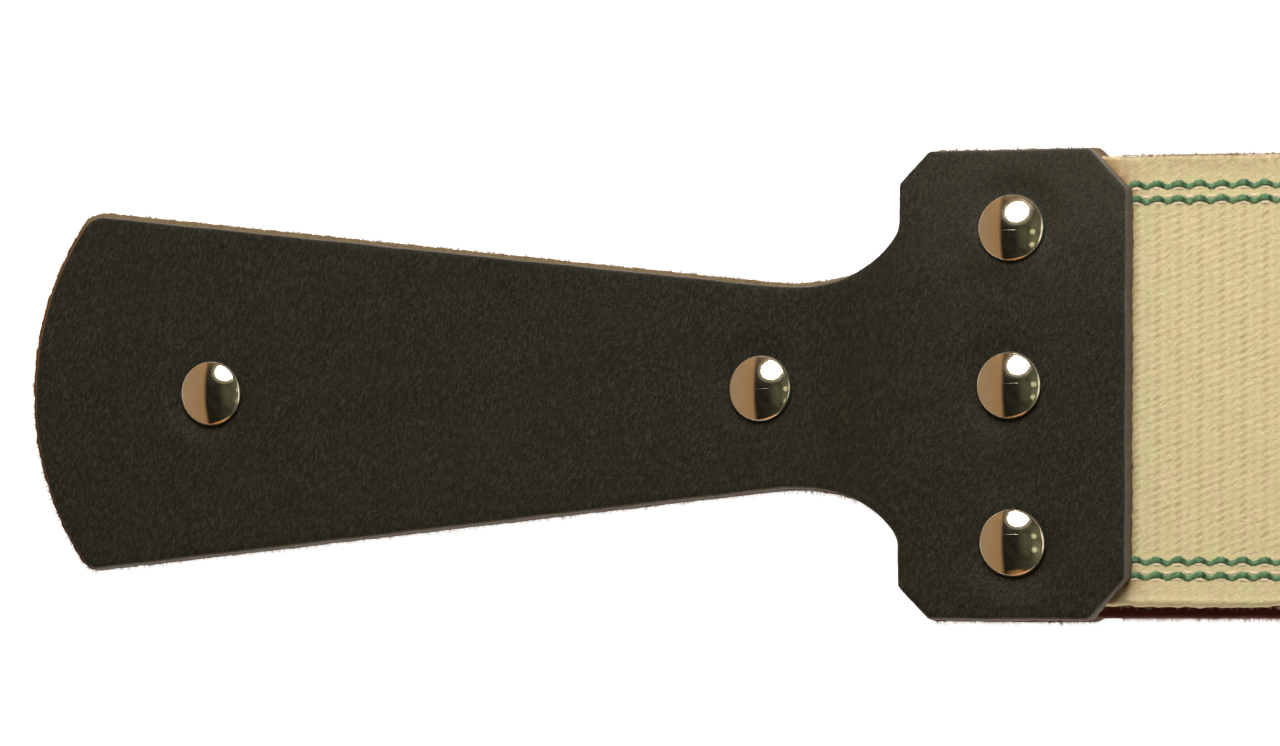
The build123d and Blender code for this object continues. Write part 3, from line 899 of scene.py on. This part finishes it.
def hollows(dx, y, column, seed):
    """Slanted oval hollows in rows, every other one shallower. dx is the distance from their column."""
    row = np.round(y / ROW_PERIOD)
    depth = np.zeros_like(dx)
    for shift in (-1, 0, 1):
        near = y - (row + shift) * ROW_PERIOD
        strength = np.where((row + shift) % 2 == 0, 1.0, 0.8)
        strength = strength * (0.75 + 0.5 * cell_noise(column, row + shift, seed))
        along = dx * math.cos(DIMPLE_SLANT) + near * math.sin(DIMPLE_SLANT)
        across = -dx * math.sin(DIMPLE_SLANT) + near * math.cos(DIMPLE_SLANT)
        depth += strength * np.exp(-((along / 0.7) ** 4) - (across / 0.27) ** 2)
    return depth


def dye_and_shade_by_head(x, y):
    """1 where the webbing touches the head's outline, fading out beside it. The head dyed it there, and the
    material also paints there the shade that the head's edge casts.
    """
    cut_x, cut_y = HEAD_CUT
    past_cut = ((x - HEAD_X) * cut_y + (np.abs(y) - FRONT_HIGH[1] + cut_y) * cut_x) / math.hypot(cut_x, cut_y)
    gap = np.maximum(x - HEAD_X, past_cut)
    near_cut = smooth_step(np.abs(y), FRONT_HIGH[1] - cut_y - 2.0, FRONT_HIGH[1] - cut_y)
    return np.exp(-np.maximum(gap, 0) / (0.35 + 0.7 * near_cut))


def weave(x, y, low_y, high_y):
    """Relief of the webbing's face, and how deep in a hollow each point is, which the material paints as
    shade.
    """
    from_edge = np.minimum(y - low_y, high_y - y)
    body = smooth_step(from_edge, STRIPE_INNER + 0.6, STRIPE_INNER + 1.0)
    column = np.round(x / RIB_PERIOD)
    between = np.round(x / RIB_PERIOD - 0.5)
    strong = hollows(x - column * RIB_PERIOD, y, column, 1)
    faint = hollows(x - (between + 0.5) * RIB_PERIOD, y + ROW_PERIOD / 2, between, 2)
    ridge = 0.5 - 0.5 * np.cos(4 * math.pi * x / RIB_PERIOD)
    lift = body * (-0.135 * strong - 0.08 * faint + 0.05 * ridge)
    lift += 0.035 * (1 - body) * ridge
    lift += 0.03 * wave_noise(x + 0.7 * y, 9.0, 8) - 0.16 * (1 - smooth_step(from_edge, 0.0, 0.7))
    lift += 0.09 * np.exp(-(((y - low_y - 0.9) / 0.35) ** 2)) * (1 + 0.6 * wave_noise(x, 2.6, 17))
    hollow_shade = body * np.clip(strong + 0.3 * faint, 0, 1.2) + 0.3 * (1 - ridge)
    return lift, hollow_shade


def webbing_edges(xs, y):
    """Points y of the webbing's cross-sections, with both edges made to wander along x."""
    low_edge = 0.13 * np.abs(np.sin(math.pi * xs / RIB_PERIOD)) + 0.12 * wave_noise(xs, 19.0, 4)
    low_edge += 0.07 * wave_noise(xs, 4.1, 14)
    high_edge = np.abs(0.1 * wave_noise(xs, 1.57, 9) + 0.16 * wave_noise(xs, 27.0, 2))
    by_low = smooth_step(WEBBING_LOW[1] - y, -1.6, -0.2)
    by_high = smooth_step(y - WEBBING_HIGH[1], -1.6, -0.2)
    return y + low_edge[:, None] * by_low - high_edge[:, None] * by_high


def webbing_section(xs):
    """Cross-sections of the webbing: fine woven face, rounded selvedges, coarse underside."""
    low_y, high_y = WEBBING_LOW[1], WEBBING_HIGH[1]
    thick = webbing_top(MIDDLE_X) - webbing_under(MIDDLE_X)
    count = int((high_y - low_y - 2 * SELVEDGE) / WEBBING_STEP_Y)
    face_y = np.linspace(low_y + SELVEDGE, high_y - SELVEDGE, count)
    under_y = np.linspace(high_y - SELVEDGE, low_y + SELVEDGE, 40)
    ys, heights = rounded_section(face_y, under_y, thick, SELVEDGE, 6, 1)
    on_face = np.arange(len(ys)) < count
    x, y = np.meshgrid(xs, ys, indexing="ij")
    lift, hollow_shade = weave(x, y, low_y, high_y)
    y = webbing_edges(xs, y)
    from_top = high_y - y
    # How near the top edge each point is: the material paints it greyer brown there, partly as nap, partly as
    # painted shade
    nap = 1 - 0.5 * smooth_step(from_top, 0.2, 4.5) - 0.5 * smooth_step(from_top, 0.1, 0.6)
    data = {"hollow_shade": hollow_shade * on_face, "dye_and_shade": dye_and_shade_by_head(x, y) * on_face, "nap": nap}
    return y, heights + on_face * (lift - 0.02), data


def build_webbing(material):
    """The webbing in four stretches, the end ones beside the handle and beside the tab."""
    start, end = WEBBING_LOW[0] + END_GAP, WEBBING_HIGH[0] - END_GAP
    bounds = [start, HEAD_X + END_STRETCH, MIDDLE_X, TAB_X - END_STRETCH, end]
    parts = ["handle_end", None, None, "tab_end"]
    for i, (a, b, part) in enumerate(zip(bounds, bounds[1:], parts)):
        xs = np.linspace(a, b, int((b - a) / WEBBING_STEP_X) + 1)
        if part == "handle_end":
            fine = HEAD_X + FINE_LENGTH
            close = np.arange(HEAD_X - 4, fine, WEBBING_STEP_X / 2)
            hidden = np.arange(a, HEAD_X - 4, 1.5)
            xs = np.concatenate([hidden, close, np.linspace(fine, b, int((b - fine) / WEBBING_STEP_X))])
        ys, heights, data = webbing_section(xs)
        piece = strap_segment(f"webbing_{i + 1}", xs, ys, heights, webbing_under, material, data)
        hang_strap_piece(piece, part, "webbing_strap")


def stripe_yarns():
    """Each raised yarn of one stripe pair: its distance from the webbing's edge, whether it is dyed, and its
    phase."""
    step = (STRIPE_INNER - STRIPE_OUTER) / 3
    return [
        (STRIPE_OUTER, True, 0.0),
        (STRIPE_OUTER + step, False, 0.0),
        (STRIPE_OUTER + 2 * step, False, math.pi),
        (STRIPE_INNER, True, 0.0),
        (STRIPE_INNER + step, False, 0.0),
    ]


def stripe_wave(x):
    """How far the stripe yarns stray from their straight lines."""
    return STRIPE_WAVE * (1 - 2 * (0.5 - 0.5 * np.cos(2 * math.pi * x / RIB_PERIOD)) ** 1.25)


def build_yarn(name, line, dyed, phase, stretch, material, seed):
    """One yarn that waves along a line of the webbing's face, over a stretch from one x to another."""
    turns = np.linspace(0, 2 * math.pi, 8, endpoint=False)
    xs = np.arange(stretch[0], stretch[1] + 0.01, RIB_PERIOD / 15)
    angle = 2 * math.pi * xs / RIB_PERIOD + phase
    centre_y = line + stripe_wave(xs) + 0.05 * wave_noise(xs, 7.0, seed)
    rise = 0.02 * np.cos(angle) if dyed else 0.11 * np.cos(angle) - 0.12
    centre_z = webbing_top(xs) + rise + 0.02 * wave_noise(xs, 5.0, seed + 9)
    ply = 1 + 0.14 * np.cos(2 * (turns[None, :] - 2 * math.pi * xs[:, None] / 1.3))
    swell = 1 + 0.1 * np.cos(angle) + 0.07 * wave_noise(xs, 2.3, seed + 20)
    reach = (STRIPE_RADIUS if dyed else PALE_RADIUS) * ply * swell[:, None]
    x = np.repeat(xs[:, None], len(turns), 1)
    y = centre_y[:, None] + reach * np.cos(turns)[None, :]
    z = centre_z[:, None] + 0.5 * reach * np.sin(turns)[None, :]
    faces = tube_faces(len(xs), len(turns))
    # How steeply the yarn slants at each step, which the material paints as shade on its flanks
    falling = np.clip(np.sin(angle), 0, 1) ** 2 + 0.35 * np.clip(-np.sin(angle), 0, 1) ** 2
    crest = 0.5 + 0.5 * np.cos(angle)
    data = {"flank_shade": np.repeat(falling, len(turns)), "crest": np.repeat(crest, len(turns))}
    return make_object(name, np.stack([x, y, z], -1).reshape(-1, 3), faces, material, data, outward=True)


def build_stripes(dyed_material, pale_material):
    """Two stripe pairs of yarns that wave over the webbing's face, each yarn in two halves."""
    bases = (WEBBING_HIGH[1], WEBBING_LOW[1] + STRIPE_OUTER + STRIPE_INNER)
    yarns = [(base - d, dyed, phase) for base in bases for d, dyed, phase in stripe_yarns()]
    for k, (line, dyed, phase) in enumerate(yarns):
        for part, a, b in strap_halves(3):
            name = f"{'green' if dyed else 'pale'}_yarn_{k + 1}_{part}"
            material = dyed_material if dyed else pale_material
            piece = build_yarn(name, line, dyed, phase, (a, b), material, k)
            hang_strap_piece(piece, part)


def build_stripe_fuzz():
    """Short hairs that blur the edges of the green yarns."""
    random = np.random.default_rng(SEED + 9)
    green = plain_fibre("green_fibre", colour(88, 150, 104))
    bases = (WEBBING_HIGH[1], WEBBING_LOW[1] + STRIPE_OUTER + STRIPE_INNER)
    lines = [base - d for base in bases for d in (STRIPE_OUTER, STRIPE_INNER)]
    for part, a, b in strap_halves(2):
        x = random.uniform(a, b, FUZZ_COUNT)
        side = random.choice([-1.0, 1.0], FUZZ_COUNT)
        y = random.choice(lines, FUZZ_COUNT) + stripe_wave(x) + side * random.uniform(0.1, 0.3, FUZZ_COUNT)
        z = webbing_top(x) + random.uniform(0.0, 0.12, FUZZ_COUNT)
        ways = np.stack([0 * side, side, np.full(FUZZ_COUNT, 0.4)], 1)
        piece = fibres(f"stripe_fuzz_{part}", np.stack([x, y, z], 1), ways, 0.25, 0.04, green, SEED + 10)
        hang_strap_piece(piece, part)


def build_leather_strap(material):
    """The red strap in two halves, with burnished rounded edges."""
    face_y = np.linspace(STRAP_LOW[1] + STRAP_ROUND, STRAP_HIGH[1] - STRAP_ROUND, 50)
    thick = strap_top(MIDDLE_X) - strap_under(MIDDLE_X)
    ys, level = rounded_section(face_y, face_y[::-1], thick, STRAP_ROUND, 8, 0.7)
    wall = np.repeat([0.0, 1.0, 0.0, 1.0], [50, 7, 50, 7])
    start, end = STRAP_LOW[0] + END_GAP, STRAP_HIGH[0] - END_GAP
    halves = [("handle_end", start, MIDDLE_X), ("tab_end", MIDDLE_X, end)]
    for part, a, b in halves:
        xs = np.linspace(a, b, int((b - a) / 1.0) + 1)
        edge = 0.12 * wave_noise(xs, 31.0, 12)[:, None] + 0.04 * wave_noise(xs, 2.7, 13)[:, None]
        y = ys - edge * smooth_step(np.abs(ys), 28.0, 31.0) * np.sign(ys)
        heights, walls = (np.tile(row, (len(xs), 1)) for row in (level, wall))
        name = f"strap_leather_{part}"
        piece = strap_segment(name, xs, y, heights, strap_under, material, {"wall": walls})
        hang_strap_piece(piece, part, "leather_strap")


def build_strap_hairs():
    """Nap along both edges of the straps: cream on the webbing, red-brown on the leather."""
    random = np.random.default_rng(SEED + 5)
    cream = plain_fibre("cream_fibre", colour(206, 190, 150))
    grey = plain_fibre("grey_brown_fibre", colour(138, 112, 84))
    pink = plain_fibre("pink_fibre", colour(158, 112, 104))
    # name, edge, its side, height from the webbing's top, spread up and down, count, length and material
    rows = [
        ("webbing_low_hairs", WEBBING_LOW[1], -1.0, -1.1, 0.7, 1300, 0.26, cream),
        ("webbing_high_hairs", WEBBING_HIGH[1], 1.0, -0.25, 0.3, 8000, 0.34, grey),
        ("strap_low_hairs", STRAP_LOW[1], -1.0, -3.2, 1.0, 9000, 0.4, pink),
        ("strap_high_hairs", STRAP_HIGH[1], 1.0, -3.4, 1.0, 2500, 0.3, pink),
    ]
    for name, edge_y, side, level, spread, count, length, material in rows:
        for part, a, b in strap_halves(2):
            x = random.uniform(a, b, count)
            y = np.full(count, edge_y - 0.15 * side)
            z = webbing_top(x) + level + random.uniform(-spread, spread, count)
            ways = np.tile([0.0, side, 0.1], (count, 1))
            roots = np.stack([x, y, z], 1)
            piece = fibres(f"{name}_{part}", roots, ways, length, 0.03, material, SEED + 6)
            hang_strap_piece(piece, part)


# ---------------- rivets and hook


def lathe(name, profile, centre, facing, lean, mark, material):
    """A round piece turned about an upright axis, then leaned. profile holds (radius, height) from its foot
    to its top, and mark is the place of its setting mark."""
    turns = np.linspace(0, 2 * math.pi, CAP_SEGMENTS, endpoint=False)
    radius, height = np.array(profile).T
    x = radius[:, None] * np.cos(turns)
    y = radius[:, None] * np.sin(turns)
    z = np.repeat(height[:, None], len(turns), 1)
    points = np.stack([x, y * facing, z * facing], -1).reshape(-1, 3)
    from_mark = points - [*mark, 0]
    points[:, 2] -= points[:, :2] @ lean
    points = points + centre
    faces = tube_faces(len(profile), len(turns))
    return make_object(name, points, faces, material, {"from_mark": from_mark}, outward=True)


def cap_profile(radius, crown):
    """A flat dome, a narrow steep skirt around it, and a curled foot that is pressed into the leather."""
    dome_radius = DOME_SHARE * radius
    sphere = dome_radius / math.sin(DOME_EDGE)
    skirt_top = crown - sphere * (1 - math.cos(DOME_EDGE))
    profile = [(radius - 0.9, -RIM_DROP), (radius - 0.25, -RIM_DROP)]
    for turn in np.linspace(-70, 30, 7):
        angle = math.radians(turn)
        profile.append((radius - 0.13 + 0.13 * math.cos(angle), 0.2 + 0.13 * math.sin(angle)))
    foot_radius, foot_height = profile[-1]
    for part in (0.35, 0.7):
        bulge = 0.05 * math.sin(math.pi * part)
        across = foot_radius + (dome_radius - foot_radius) * part
        profile.append((across + bulge, foot_height + (skirt_top - foot_height) * part + bulge))
    for part in np.linspace(1, 0.004, 30):
        angle = DOME_EDGE * part
        profile.append((sphere * math.sin(angle), crown - sphere * (1 - math.cos(angle))))
    return profile


def build_rivets(material):
    """Polished caps on both faces, which take the place of the CAD's caps and posts; those are hidden."""
    for name in sorted(RIVET_NAMES):
        body = "tab" if name.startswith("tab") else "handle"
        cap_low, cap_high = corners(f"rivet_{name}_cap")
        post_low = corners(f"rivet_{name}_post")[0]
        radius = (cap_high[0] - cap_low[0]) / 2
        x, y = (cap_low[:2] + cap_high[:2]) / 2
        crown = BACK_LOW[2] - post_low[2]
        profile = cap_profile(radius, crown)
        mark = CAP_MARK.get(name, PLAIN_MARK)
        front_centre, rear_centre = (x, y, cap_high[2] - crown), (x, y, post_low[2] + crown)
        front = lathe(f"cap_{name}_front", profile, front_centre, 1, lean_of(name), mark, material)
        rear = lathe(f"cap_{name}_rear", profile, rear_centre, -1, np.zeros(2), PLAIN_MARK, material)
        hand_over(front, body, f"rivet_{name}_cap")
        hand_over(rear, body, f"rivet_{name}_post")


def coil_points(low, high):
    """Rings of points around a spring's wire, which winds along +X in a box."""
    coil_radius = (high[2] - low[2]) / 2 - SPRING_WIRE
    angle = np.linspace(0, 2 * math.pi * SPRING_TURNS, SPRING_STEPS * SPRING_TURNS + 1)
    pitch = (high[0] - low[0] - 2 * SPRING_WIRE) / angle[-1]
    nothing = np.zeros_like(angle)
    outward = np.stack([nothing, np.cos(angle), np.sin(angle)], 1)
    centre = coil_radius * outward
    centre[:, 0] = low[0] + SPRING_WIRE + pitch * angle
    centre[:, 1:] += (low[1:] + high[1:]) / 2
    ahead = np.stack([nothing + pitch, -coil_radius * np.sin(angle), coil_radius * np.cos(angle)], 1)
    beside = np.cross(ahead / np.linalg.norm(ahead, axis=1, keepdims=True), outward)
    turns = np.linspace(0, 2 * math.pi, SPRING_SIDES, endpoint=False)[None, :, None]
    around = np.cos(turns) * outward[:, None] + np.sin(turns) * beside[:, None]
    return centre[:, None] + SPRING_WIRE * around


def build_spring(material):
    """The return spring's coil."""
    low, high = corners("bolt_spring")
    points = coil_points(low, high)
    faces = tube_faces(len(points), SPRING_SIDES)
    spring = make_object("return_spring", points.reshape(-1, 3), faces, material, outward=True)
    hand_over(spring, "hook", "bolt_spring")
    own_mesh(spring)


def finish_cad_nodes():
    """Materials for the hook's own parts, which keep their CAD shape."""
    nickel = cast_nickel()
    bright = cast_nickel("drawn_nickel", 0.004, 0.08, 0.2)
    finishes = {"swivel_eye": bright, "snap_bolt": bright, "hook_body": nickel, "thumb_stud": nickel}
    for node, material in finishes.items():
        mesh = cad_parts[node].data
        mesh.materials.clear()
        mesh.materials.append(material)


# ---------------- surroundings


def build_floor():
    """A plain white table."""
    size = 6000.0
    points = [(-size, -size, 0), (size, -size, 0), (size, size, 0), (-size, size, 0)]
    floor = make_object("floor", points, [[0, 1, 2, 3]], white_floor(), smooth=False)


def disk_lamp(name, place, size, power, tint):
    """A round lamp that faces the middle of the handle. place is measured from the tail."""
    data = bpy.data.lights.new(name, "AREA")
    data.shape = "DISK"
    data.size = size
    data.energy = power
    data.color = tint
    lamp = bpy.data.objects.new(name, data)
    where = Vector((TAIL_X + place[0], place[1], place[2])) * MM
    aim = Vector((TAIL_X + 112, 0, 5)) * MM
    turned = (aim - where).to_track_quat("-Z", "Y").to_matrix().to_4x4()
    lamp.matrix_world = Matrix.Translation(where) @ turned
    bpy.context.scene.collection.objects.link(lamp)


def build_lamps():
    """A soft lamp beyond the head's far side with a glow around it, and two small far bulbs."""
    disk_lamp("round_lamp", (192, 484, 486), 0.5, 5.0, (1.0, 0.97, 0.9))
    for k, size in enumerate((0.56, 0.62, 0.68, 0.74)):
        disk_lamp(f"lamp_glow_{k + 1}", (196, 498, 500), size, 0.37 * size**2, (1.0, 0.92, 0.66))
    disk_lamp("far_bulb_1", (590, 50, 522), 0.12, 0.0214, (1.0, 0.97, 0.6))
    disk_lamp("far_bulb_2", (560, -255, 461), 0.12, 0.0214, (1.0, 0.97, 0.6))


def build_room():
    """The room that the rivets mirror, smooth beyond the tail and mottled elsewhere."""
    world = bpy.data.worlds.new("room")
    bpy.context.scene.world = world
    s = Nodes(world)
    way = s.add("ShaderNodeTexCoord").outputs["Generated"]
    x, y, _ = s.add("ShaderNodeSeparateXYZ", {"Vector": way}).outputs
    together = s.mix(1.0, s.ramp(x, ROOM_SIDES, -1.0, 1.0), s.ramp(y, ROOM_DEPTH, -1.0, 1.0), "ADD")
    uneven = s.ramp(s.noise(way, 2.6), ROOM_MOTTLE, 0.0, 1.0)
    dappled = s.mix(s.between(x, -0.5, -0.3), together, uneven, "MULTIPLY")
    background = s.add("ShaderNodeBackground", {"Color": dappled, "Strength": 1.0})
    s.add("ShaderNodeOutputWorld", {"Surface": background.outputs[0]})


def build_camera():
    """A long lens over the handle, leaning towards the hook's side."""
    back = Vector((math.sin(CAMERA_TILT_X), -math.sin(CAMERA_TILT_Y), 0))
    back.z = math.sqrt(1 - back.length_squared)
    up = Vector((0, 1, 0))
    up = (up - back * up.dot(back)).normalized()
    right = up.cross(back)
    turned = Matrix.Rotation(CAMERA_ROLL, 3, back)
    right, up = turned @ right, turned @ up
    aim = Vector((TAIL_X + AIM_FROM_TAIL, AIM_Y, 0)) * MM
    place = aim + back * CAMERA_DISTANCE * MM
    data = bpy.data.cameras.new("camera")
    data.lens = CAMERA_LENS
    data.sensor_width = SENSOR_WIDTH
    data.clip_start = 0.01
    camera = bpy.data.objects.new("camera", data)
    camera.matrix_world = Matrix.Translation(place) @ Matrix((right, up, back)).transposed().to_4x4()
    bpy.context.scene.collection.objects.link(camera)
    bpy.context.scene.camera = camera


def main():
    """Builds everything in order."""
    build_camera()
    bpy.context.scene.view_settings.view_transform = "Standard"
    leather = black_leather()
    build_handle(leather)
    build_tab(leather)
    build_leather_strap(red_leather())
    build_webbing(cotton_webbing())
    build_stripes(green_yarn(), pale_yarn())
    build_stripe_fuzz()
    build_edge_hairs()
    build_strap_hairs()
    build_rivets(polished_nickel())
    finish_cad_nodes()
    build_spring(cast_nickel("spring_wire", 0.01, 0.2, 0.35))
    build_floor()
    build_lamps()
    build_room()


main()
